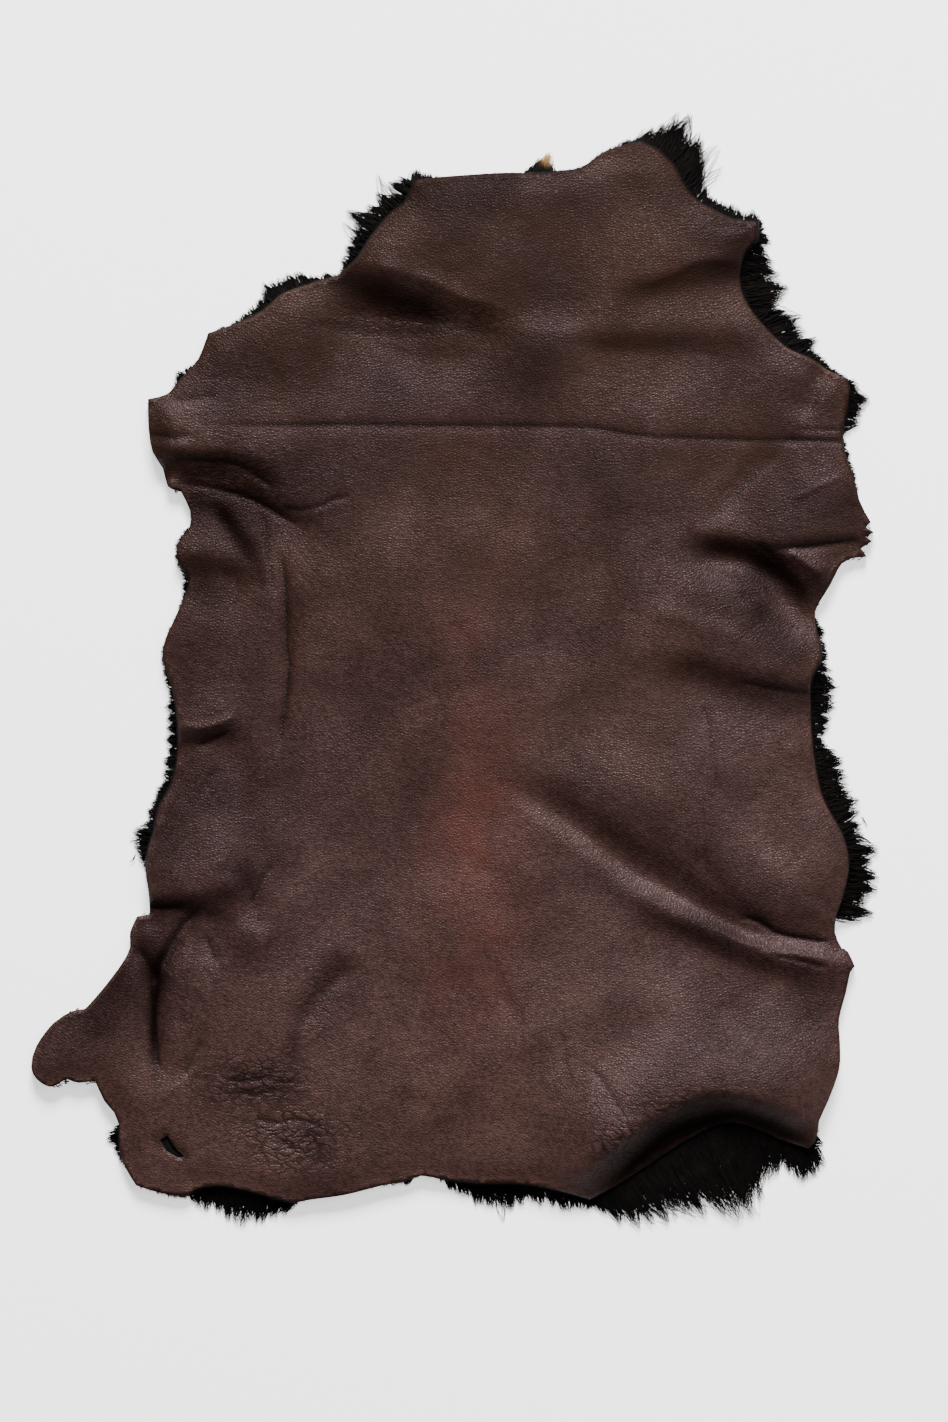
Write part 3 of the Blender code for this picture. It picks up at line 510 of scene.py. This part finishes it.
def loopFar(loop, x, y):
    return pathFields(loop + loop[:1], x, y)[0]


def gridInside(loop, step, clear, rng):
    # even points inside a closed loop, no nearer to it than clear
    xs, ys = zip(*loop)
    x, y = np.meshgrid(np.arange(min(xs), max(xs), step), np.arange(min(ys), max(ys), step))
    x, y = x.ravel(), y.ravel()
    x = x + np.array([rng.uniform(-0.1, 0.1) for _ in x]) * step
    y = y + np.array([rng.uniform(-0.1, 0.1) for _ in y]) * step
    keep = inside(loop, x, y)
    x, y = x[keep], y[keep]
    keep = loopFar(loop, x, y) > clear
    return x[keep], y[keep]


def triangulate(flat, wires, faces, kind):
    found = geometry.delaunay_2d_cdt([Vector(point) for point in flat], wires, faces, kind, 1e-6)
    x, y = np.array([tuple(point) for point in found[0]]).T
    return x, y, np.array(found[2])


def linear(hexColour):
    parts = [int(hexColour[place:place + 2], 16) / 255 for place in (1, 3, 5)]
    return tuple(c / 12.92 if c <= 0.04045 else ((c + 0.055) / 1.055) ** 2.4 for c in parts) + (1,)


def perMetre(size):
    return 1 / (size * mm)  # texture scale for a pattern of that many millimetres


def feed(tree, node, inputs):
    # each input is a value or another node's output
    for name, value in inputs.items():
        if isinstance(value, bpy.types.NodeSocket):
            tree.links.new(value, node.inputs[name])
        else:
            node.inputs[name].default_value = value


def addNode(tree, kind, inputs, **settings):
    node = tree.nodes.new("ShaderNode" + kind)
    for name, value in settings.items():
        setattr(node, name, value)
    feed(tree, node, inputs)
    return node.outputs


def clouds(tree, coords, size, detail, **more):
    return addNode(tree, "TexNoise", {"Scale": perMetre(size), "Detail": detail,
                                      "Vector": coords, **more})["Fac"]


def cells(tree, coords, size):
    return addNode(tree, "TexVoronoi", {"Scale": perMetre(size), "Vector": coords},
                   feature="DISTANCE_TO_EDGE")["Distance"]


def spread(tree, source, low, high, toLow, toHigh, **settings):
    return addNode(tree, "MapRange", {"Value": source, "From Min": low, "From Max": high,
                                      "To Min": toLow, "To Max": toHigh}, **settings)["Result"]


def times(tree, first, second):
    return addNode(tree, "Math", {0: first, 1: second}, operation="MULTIPLY")["Value"]


def marked(tree, name):
    return addNode(tree, "Attribute", {}, attribute_name=name)["Fac"]


def paint(tree, share, under, colour):
    return addNode(tree, "Mix", {"Factor": share, "A": under, "B": linear(colour)},
                   data_type="RGBA")["Result"]


def bump(tree, height, size, under=None, **settings):
    inputs = {"Height": height, "Strength": size[0], "Distance": size[1] * mm}
    if under:
        inputs["Normal"] = under
    return addNode(tree, "Bump", inputs, **settings)["Normal"]


def addRamp(tree, source, stops):
    node = tree.nodes.new("ShaderNodeValToRGB")
    feed(tree, node, {"Fac": source})
    ramp = node.color_ramp
    while len(ramp.elements) < len(stops):
        ramp.elements.new(0.5)
    for element, (position, colour) in zip(ramp.elements, stops):
        element.position = position
        element.color = linear(colour)
    return node.outputs["Color"]


def newMaterial(name):
    material = bpy.data.materials.new(name)
    material.use_nodes = True
    tree = material.node_tree
    return material, tree, addNode(tree, "TexCoord", {})["Object"]


def finishMaterial(material, inputs):
    feed(material.node_tree, material.node_tree.nodes["Principled BSDF"], inputs)
    return material


def newObject(name, data, *materials):
    made = bpy.data.objects.new(name, data)
    bpy.context.scene.collection.objects.link(made)
    for material in materials:
        data.materials.append(material)
    return made


def newMesh(name, shape):
    mesh = bpy.data.meshes.new(name)
    shape.to_mesh(mesh)
    shape.free()
    mesh.shade_smooth()
    return mesh


def onTable(x, y, z):
    return (x - centre.x) * mm, (y - centre.y) * mm, z * mm


def addFaces(shape, x, y, z, triangles):
    # a sheet of triangles, faces up
    corners = [shape.verts.new(onTable(*at)) for at in zip(x, y, z)]
    faces = [shape.faces.new([corners[corner] for corner in triangle]) for triangle in triangles]
    bmesh.ops.recalc_face_normals(shape, faces=faces)
    if faces[0].normal.z < 0:
        bmesh.ops.reverse_faces(shape, faces=faces)
    return corners, faces


# camera straight above, as in the photograph, 948 by 1422 mm on the floor
edge = [tuple(at) for at, _, _ in rim(skin["rimStep"])]
edgeX, edgeY = zip(*edge)
centre = Vector(((min(edgeX) + max(edgeX)) / 2 - (skinBox[0].x + skinBox[1].x) / 2 / mm,
                 (min(edgeY) + max(edgeY)) / 2 - (skinBox[0].y + skinBox[1].y) / 2 / mm, 0))
print("table centre", centre)

view = {"middle": (24, -41), "tall": 1.422, "high": 6.0, "sensor": 36, "farthest": 30}
cameraData = bpy.data.cameras.new("camera")
cameraData.sensor_width = view["sensor"]
cameraData.lens = view["sensor"] * view["high"] / view["tall"]
cameraData.clip_end = view["farthest"]
camera = newObject("camera", cameraData)
camera.location = onTable(*view["middle"], view["high"] / mm + skin["bed"])
bpy.context.scene.camera = camera

# brown nappa leather: fine grain, soft gloss, red-brown along the spine, rusty worn rim, and
# painted shade in its creases, folds and wrinkles
# the near-black colour and the last two shares paint shade into the creases, patches and wrinkle
# troughs
leatherLook = {"dark": "#1e120f", "middle": "#2a1b19", "light": "#392622", "spine": "#441f15",
               "rust": "#4a291b", "shadeColour": "#080403", "tan": "#321e12", "tint": "#f6dfe2",
               "speckled": 0.62, "creaseShade": 0.85, "wrinkleShade": 0.75}
# what changes from rump to neck, and where, in metres along the hide
hideEnds, midEnds = (-0.5, 0.45), (-0.3, 0.3)
rumpToNeck = {"neckDarkening": (0.09, -0.19), "tan": (0.05, 0.3), "sheen": (0.215, 0.12)}
# pattern sizes, and strength and depth of the bumps, in millimetres
leatherScale = {"mottle": 60, "speckle": 4.5, "tan": 130, "spine": 45, "rust": 40, "grain": 2.8,
                "wrinkle": 9, "dent": 38, "bend": 22, "line": 7}
leatherBump = {"grain": (0.9, 0.34), "wrinkle": (0.6, 0.7), "dent": (0.6, 1.6),
               "line": (0.8, 0.5)}


def leatherColour(tree, coords, along, mottle, speckle, shadedAndDarkened, sunkLines):
    blend = addNode(tree, "Mix", {"Factor": leatherLook["speckled"], "A": mottle, "B": speckle},
                    data_type="FLOAT")["Result"]
    # the leather is darker towards the neck and lighter towards the rump
    neckDarkening = spread(tree, along, *hideEnds, *rumpToNeck["neckDarkening"])
    toned = addNode(tree, "Math", {0: blend, 1: neckDarkening}, operation="ADD")["Value"]
    colour = addRamp(tree, toned, ((0.34, leatherLook["dark"]), (0.5, leatherLook["middle"]),
                                   (0.66, leatherLook["light"])))
    # browner where less dye took, most near the neck
    pale = clouds(tree, coords, leatherScale["tan"], 4, Roughness=0.6)
    most = spread(tree, along, *midEnds, *rumpToNeck["tan"])
    colour = paint(tree, spread(tree, pale, 0.40, 0.62, 0, most), colour, leatherLook["tan"])
    # red-brown down the spine, rust where the rim is worn
    uneven = clouds(tree, coords, leatherScale["spine"], 5)
    ragged = spread(tree, uneven, 0.3, 0.75, 0, 0.75)
    colour = paint(tree, times(tree, marked(tree, "spine"), ragged), colour, leatherLook["spine"])
    patches = spread(tree, clouds(tree, coords, leatherScale["rust"], 6), 0.54, 0.68, 0, 0.22)
    colour = paint(tree, times(tree, marked(tree, "worn"), patches), colour, leatherLook["rust"])
    # painted shade along the crease bottoms, in the shade and darker patches, and in the wrinkle
    # troughs
    for share in (times(tree, marked(tree, "crease"), leatherLook["creaseShade"]), shadedAndDarkened,
                  times(tree, sunkLines, leatherLook["wrinkleShade"])):
        colour = paint(tree, share, colour, leatherLook["shadeColour"])
    return colour


def wrinkleLines(tree, coords):
    # fine wrinkles, long across the hide, only where it was bent often
    bent = addNode(tree, "TexNoise", {"Scale": perMetre(leatherScale["bend"]), "Detail": 2,
                                      "Vector": coords})["Color"]
    shifted = addNode(tree, "VectorMath", {0: bent, 1: (0.02, 0.02, 0.0), 2: coords},
                      operation="MULTIPLY_ADD")["Vector"]
    drawn = addNode(tree, "Mapping", {"Vector": shifted, "Scale": (0.5, 1.0, 1.0),
                                      "Rotation": (0, 0, 0.12)})["Vector"]
    trough = spread(tree, cells(tree, drawn, leatherScale["line"]), 0, 0.24, 1, 0,
                    interpolation_type="SMOOTHSTEP")
    return times(tree, trough, marked(tree, "wrinkled"))


def makeLeather():
    material, tree, coords = newMaterial("brown nappa leather")  # grained, semi-gloss
    along = addNode(tree, "SeparateXYZ", {"Vector": coords})["Y"]
    mottle = clouds(tree, coords, leatherScale["mottle"], 7, Roughness=0.6)
    speckle = clouds(tree, coords, leatherScale["speckle"], 4, Roughness=0.7)
    # painted shade and darker patches, read from the mesh
    shadedAndDarkened = marked(tree, "shade_and_dark_patch")
    sunkLines = wrinkleLines(tree, coords)
    # handled parts shine more, towards the rump most; almost no gloss where shade and darker
    # patches are painted
    sheen = spread(tree, along, *hideEnds, *rumpToNeck["sheen"])
    handled = times(tree, sheen, spread(tree, mottle, 0.36, 0.64, 0.72, 1.22))
    # grain, wrinkles and soft dents
    pebble = spread(tree, cells(tree, coords, leatherScale["grain"]), 0, 0.35, 0, 1)
    wrinkle = clouds(tree, coords, leatherScale["wrinkle"], 7, Roughness=0.62, Distortion=0.4)
    dents = clouds(tree, coords, leatherScale["dent"], 3)
    normal = bump(tree, pebble, leatherBump["grain"])
    normal = bump(tree, wrinkle, leatherBump["wrinkle"], normal)
    normal = bump(tree, dents, leatherBump["dent"], normal)
    normal = bump(tree, sunkLines, leatherBump["line"], normal, invert=True)
    return finishMaterial(material, {
        "Base Color": leatherColour(tree, coords, along, mottle, speckle, shadedAndDarkened, sunkLines),
        "Roughness": spread(tree, speckle, 0.3, 0.7, 0.34, 0.52),
        "Specular IOR Level": spread(tree, shadedAndDarkened, 0, 1, handled, 0.01),
        "Specular Tint": linear(leatherLook["tint"]), "Normal": normal})


def makeCutEdge():
    material, tree, coords = newMaterial("cut edge of the hide")  # fibrous, unpolished
    fibres = clouds(tree, coords, 5, 6)
    return finishMaterial(material, {
        "Base Color": addRamp(tree, fibres, ((0.35, "#170e0a"), (0.65, "#38271e"))),
        "Roughness": 0.85, "Normal": bump(tree, fibres, (0.5, 0.3))})


def skinMesh():
    # rim, tear, an even grid, and rows along the creases
    rng = random.Random(3)
    x, y = gridInside(edge, skin["step"], 0.45 * skin["step"], rng)
    spare = creaseField(x, y)[0] > max(skin["creaseRows"]) + 1
    lineX, lineY = creasePoints()
    within = inside(edge, lineX, lineY) & (loopFar(edge, lineX, lineY) > skin["rimClear"])
    x, y = np.concatenate((x[spare], lineX[within])), np.concatenate((y[spare], lineY[within]))
    clear = ~inside(tear, x, y) & (loopFar(tear, x, y) > skin["tearClear"])
    flat = edge + tear + list(zip(x[clear], y[clear]))
    rings = [list(range(len(edge))), list(range(len(edge), len(edge) + len(tear)))]
    wires = [pair for ring in rings for pair in zip(ring, ring[1:] + ring[:1])]
    x, y, triangles = triangulate(flat, wires, [], 0)
    middleX, middleY = x[triangles].mean(1), y[triangles].mean(1)
    kept = inside(edge, middleX, middleY) & ~inside(tear, middleX, middleY)
    return x, y, triangles[kept]


def skinMarks(x, y, rimFar):
    # what the material reads at each point, from 0 to 1
    # red-brown over the loins, fainter along the back
    spine = (0.55 * bell(x - 28, 50) * bell(y + 190, 118)
             + 0.25 * bell(x - 15, 60) * smooth((y + 480) / 150) * smooth((330 - y) / 150))
    wrinkled = np.zeros(x.shape)
    for spot in wrinkledSpots:
        off = ((x - spot.at[0]) / spot.wide) ** 2 + ((y - spot.at[1]) / spot.tall) ** 2
        wrinkled = np.maximum(wrinkled, spot.strength * np.exp(-off))
    shade_and_dark_patch = np.clip(foldSum(shadeAndDarkPatches, x, y, 0.2), 0, 0.97)
    shade_and_dark_patch *= 1 - 0.8 * bell(rimFar, 2.2)  # the painted darkening is left off the rim's last millimetres, so the cut edge stays light
    neckRimShade = 0.6 * bell(rimFar, 3.2) * smooth((y - 420) / 50)  # painted shade on the neck's rim, which is turned to the key light
    # the crease mark is painted shade along the crease bottoms; the patch mark is painted shade
    # plus darker patches
    return {"crease": creaseField(x, y)[1], "worn": bell(rimFar, 5), "spine": spine,
            "wrinkled": wrinkled, "shade_and_dark_patch": np.maximum(shade_and_dark_patch, neckRimShade)}


def makeSkin():
    x, y, triangles = skinMesh()
    rimFar = loopFar(edge, x, y)
    shape = bmesh.new()
    layers = [(shape.verts.layers.float.new(name), values.tolist())
              for name, values in skinMarks(x, y, rimFar).items()]
    corners = addFaces(shape, x, y, creasedHeight(x, y, rimFar), triangles)[0]
    for layer, values in layers:
        for corner, value in zip(corners, values):
            corner[layer] = value
    loose = [corner for corner in corners if not corner.link_faces]
    bmesh.ops.delete(shape, geom=loose, context="VERTS")
    leather = newObject("leather", newMesh("leather", shape), makeLeather(), makeCutEdge())
    thickness = leather.modifiers.new("thickness", "SOLIDIFY")
    thickness.thickness = skin["thick"] * mm
    thickness.offset = -1
    thickness.use_even_offset = False
    thickness.material_offset_rim = 1
    return leather


leather = makeSkin()
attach(leather, "root")
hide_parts("skin")
print("leather", len(leather.data.polygons))

# black wool: a lumpy bed pressed flat on the floor, and locks round its rim
wool = {"bedStep": 9.0, "bedShare": 0.16, "underSkin": 0.6, "tipHigh": 2.5, "lump": 2.2,
        "bedDrop": 2.0, "pile": 27.0}
lock = {"step": 3.8, "thick": 1.15, "across": 6, "back": (2, 8), "short": 0.45, "high": (0.8, 4.0),
        "least": 9, "perReach": 0.5, "tuft": 3, "draw": 0.45, "tuftReach": 1.08, "clump": 13,
        "coreAcross": (-2.6, 0, 2.6), "coreThick": 3.8, "coreLeast": 4.0, "coreBack": 5,
        "coreShort": (0.12, 0.3), "coreHigh": 2.2}
woolLook = {"root": "#030202", "middle": "#070504", "tip": "#0f0907", "cream": "#b08a58",
            "lock": 14, "crimp": 2.5}


def makeWoolMaterial():
    material, tree, coords = newMaterial("black sheep wool")  # near black, browned tips
    colour = addRamp(tree, clouds(tree, coords, woolLook["lock"], 5),
                     ((0.3, woolLook["root"]), (0.55, woolLook["middle"]),
                      (0.75, woolLook["tip"])))
    crimp = clouds(tree, coords, woolLook["crimp"], 4)
    return finishMaterial(material, {
        "Base Color": paint(tree, marked(tree, "cream"), colour, woolLook["cream"]),
        "Roughness": 0.72, "Specular IOR Level": 0.06, "Normal": bump(tree, crimp, (0.5, 0.5))})


woolMaterial = makeWoolMaterial()


def makeBed():
    rng = random.Random(12)
    roots = rim(wool["bedStep"])
    inner = [tuple(at) for at, _, _ in roots]
    outer = [tuple(at + lean * (0.5 + reach * wool["bedShare"] * rng.uniform(0.8, 1.2)))
             for at, reach, lean in roots]
    x, y = gridInside(inner, wool["bedStep"], 0.6 * wool["bedStep"], rng)
    flat = outer + inner + list(zip(x, y))
    x, y, triangles = triangulate(flat, [], [list(range(len(outer)))], 1)
    rimFar = loopFar(edge, x, y)
    below = skin["thick"] + wool["underSkin"]
    under = creasedHeight(x, y, rimFar) - below
    low = wool["tipHigh"] + (under - wool["tipHigh"]) * np.exp(-rimFar / wool["bedDrop"])
    under = np.where(inside(edge, x, y), under, low)
    shape = bmesh.new()
    faces = addFaces(shape, x, y, under, triangles)[1]
    grown = bmesh.ops.extrude_face_region(shape, geom=faces)["geom"]
    for corner in grown:
        if isinstance(corner, bmesh.types.BMVert):
            arch = max(corner.co.z / mm + below - wool["pile"], 0)  # under the high folds
            corner.co.z = (arch + rng.uniform(0, 1) ** 2 * wool["lump"]) * mm
    bmesh.ops.recalc_face_normals(shape, faces=shape.faces)
    return newObject("wool_bed", newMesh("wool_bed", shape), woolMaterial)


def strand(rng, start, tip, startHigh, tipHigh, points, wide):
    # one wisp of wool as x, y, z and radius, bent a little sideways
    side = Vector((-(tip - start).y, (tip - start).x))
    bow, wave = rng.gauss(0, 0.10), rng.gauss(0, 0.035)
    phase = rng.uniform(0, 6.28)
    rows = []
    for number in range(points):
        share = number / (points - 1)
        at = start.lerp(tip, share) + side * (bow * math.sin(math.pi * share)
                                              + wave * math.sin(phase + 9 * share))
        high = tipHigh + (startHigh - tipHigh) * (1 - share) ** 1.5
        thick = wide * 0.5 * (1 - 0.85 * share ** 1.9)  # it tapers to a point
        rows.append((at.x, at.y, max(high, thick + 0.05), thick))
    return rows


def makeLock(rng, at, lean, reach, tuftTip, rootHigh):
    # strands from under the skin's edge, drawn together towards one tip
    side = Vector((-lean.y, lean.x))
    lockTip = (at + lean * reach).lerp(tuftTip, lock["draw"]) + side * rng.gauss(0, 0.06) * reach
    rows = []
    points = 4 + round(min(reach, 60) / 14)
    for across in lock["coreAcross"] if reach > lock["coreLeast"] else ():  # its body
        start = at - lean * lock["coreBack"] + side * across
        tip = lockTip.lerp(start, rng.uniform(*lock["coreShort"])) + side * across * 0.3
        rows.append(strand(rng, start, tip, max(rootHigh * 0.5, 2), lock["coreHigh"], points,
                           lock["coreThick"]))
    for _ in range(round(lock["least"] + min(max(reach, 0), 50) * lock["perReach"])):
        across = rng.uniform(-lock["across"], lock["across"])
        start = at - lean * rng.uniform(*lock["back"]) + side * across
        short = lock["short"] * rng.random() ** 1.6
        tip = lockTip.lerp(start, short) + side * (across * 0.2 + rng.gauss(0, 0.9))
        high = max(rootHigh - skin["thick"] - 1.1 - rng.uniform(0, 1) * rootHigh * 0.75, 1.2)
        rows.append(strand(rng, start, tip, high, rng.uniform(*lock["high"]) + 0.02 * reach,
                           points, lock["thick"]))
    return rows


def makeStrands(name, rows):
    # closed four-sided strands from one curve object
    data = bpy.data.curves.new(name, "CURVE")
    data.dimensions = "3D"
    data.bevel_depth = mm
    data.bevel_resolution = 0
    data.use_fill_caps = True
    for points in rows:
        spline = data.splines.new("POLY")
        spline.points.add(len(points) - 1)
        spline.points.foreach_set("co", [value for x, y, z, _ in points
                                         for value in (*onTable(x, y, z), 1)])
        spline.points.foreach_set("radius", [thick for *_, thick in points])
    curve = newObject(name + "_curve", data)
    graph = bpy.context.evaluated_depsgraph_get()
    mesh = bpy.data.meshes.new_from_object(curve.evaluated_get(graph))
    mesh.name = name
    bpy.data.objects.remove(curve)
    bpy.data.curves.remove(data)
    mesh.materials.clear()
    made = newObject(name, mesh, woolMaterial)
    mesh.shade_smooth()
    return made


# loose wisps: root, tip, how many strands, how far they spread
wisps = (
    Wisp("bleached tuft", (90, 494), (99, 517), 46, 4),
    Wisp("bleached tuft side", (82, 495), (86, 507), 16, 3),
    Wisp("neck point", (238, 488), (268, 526), 7, 3),
    Wisp("neck point outer", (243, 478), (272, 503), 5, 3),
    Wisp("rump", (52, -516), (54, -553), 6, 2),
    Wisp("left nape", (-84, 428), (-108, 449), 5, 2),
    Wisp("left nape upper", (-52, 462), (-73, 497), 6, 2),
    Wisp("left flank", (-298, -175), (-321, -170), 5, 2),
    Wisp("left flank lower", (-296, -150), (-316, -158), 4, 2),
    Wisp("shed right", (412, -148), (419, -157), 2, 1),
    Wisp("shed right lower", (414, -176), (421, -181), 2, 1),
    Wisp("shed left", (-316, -186), (-322, -193), 2, 1),
)


def pieceAt(at):
    if at.y > 330:
        return "wool_neck"
    if at.y < -440:
        return "wool_rump" if at.x > 180 else "wool_tail"
    return "wool_right" if at.x > 0 else "wool_left"


def lockRows():
    rng = random.Random(21)
    roots = rim(lock["step"])
    x, y = np.array([tuple(at) for at, _, _ in roots]).T
    high = creasedHeight(x, y, np.zeros(x.shape))
    pieces = {"wool_neck": [], "wool_right": [], "wool_rump": [], "wool_tail": [], "wool_left": []}
    reaches = []
    for at, reach, _ in roots:  # some locks hang together, some part
        clump = noise.noise((at.x / lock["clump"], at.y / lock["clump"], 0.7))
        reach *= rng.uniform(0.85, 1.25) * (1 + 0.4 * clump)
        reaches.append(reach if reach > 1.6 else -1.5)  # no wool shows, so it hangs under the edge
    for number, ((at, _, lean), reach, rootHigh) in enumerate(zip(roots, reaches, high)):
        middle = min(number - number % lock["tuft"] + lock["tuft"] // 2, len(roots) - 1)
        tuftTip = roots[middle][0] + roots[middle][2] * reaches[middle] * lock["tuftReach"]
        if reach < 0 or reaches[middle] < 0:
            tuftTip = at + lean * reach
        pieces[pieceAt(at)] += makeLock(rng, at, lean, reach, tuftTip, rootHigh)
    for wisp in wisps:
        piece = "wool_neck" if wisp.root[1] > 400 else "wool_tail"
        for _ in range(wisp.strands):
            root = Vector(wisp.root) + Vector((rng.gauss(0, 1), rng.gauss(0, 1))) * wisp.spread
            tip = Vector(wisp.tip) + Vector((rng.gauss(0, 0.5), rng.gauss(0, 0.5))) * wisp.spread
            pieces[piece].append(strand(rng, root, tip, rng.uniform(1, 7), rng.uniform(0.8, 3), 6,
                                        lock["thick"]))
    return pieces


creamTuft = {"at": (100, 519), "across": 11.0}  # sun-bleached tips at the nape
woolPieces = [makeBed()]
for name, rows in lockRows().items():
    piece = makeStrands(name, rows)
    spots = np.empty(len(piece.data.vertices) * 3)
    piece.data.vertices.foreach_get("co", spots)
    spots = spots.reshape(-1, 3) / mm
    far = np.hypot(spots[:, 0] + centre.x - creamTuft["at"][0],
                   spots[:, 1] + centre.y - creamTuft["at"][1])
    cream = piece.data.attributes.new("cream", "FLOAT", "POINT")
    cream.data.foreach_set("value", np.exp(-(far / creamTuft["across"]) ** 4).astype(np.float32))
    woolPieces.append(piece)
    print(name, len(rows), "strands", len(piece.data.polygons), "faces")
for piece in woolPieces:
    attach(piece, "root")
    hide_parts("fleece")

# pale floor and soft studio light from the neck's side
floor = {"size": 40.0, "light": "#fdfdfd", "dark": "#f8f8f8", "grain": 3, "glow": 1.0}
shape = bmesh.new()
bmesh.ops.create_grid(shape, x_segments=1, y_segments=1, size=floor["size"] / 2)
floorMesh = newMesh("floor", shape)
floorMaterial, floorTree, floorCoords = newMaterial("pale studio floor")  # matt paper, lit softly
paper = clouds(floorTree, floorCoords, floor["grain"], 4)
finishMaterial(floorMaterial, {
    "Base Color": addRamp(floorTree, paper, ((0.3, floor["dark"]), (0.7, floor["light"]))),
    "Roughness": 0.9, "Emission Color": (1, 1, 1, 1), "Emission Strength": floor["glow"]})
newObject("floor", floorMesh, floorMaterial)

lights = (  # name, place, aim, size, power
    ("key", (0.3, 8.8, 6.7), (0.0, -0.1, 0.0), 4.0, 4600),
    ("fill", (1.5, 0.5, 3.0), (0.1, -0.3, 0.0), 1.6, 45),
)
for name, place, aim, size, power in lights:
    lightData = bpy.data.lights.new(name, "AREA")
    lightData.size = size
    lightData.energy = power
    light = newObject(name, lightData)
    light.location = place
    light.rotation_euler = (Vector(aim) - Vector(place)).to_track_quat("-Z", "Y").to_euler()
world = bpy.context.scene.world or bpy.data.worlds.new("studio")
bpy.context.scene.world = world
world.use_nodes = True
feed(world.node_tree, world.node_tree.nodes["Background"], {"Color": (1, 1, 1, 1),
                                                            "Strength": 0.14})
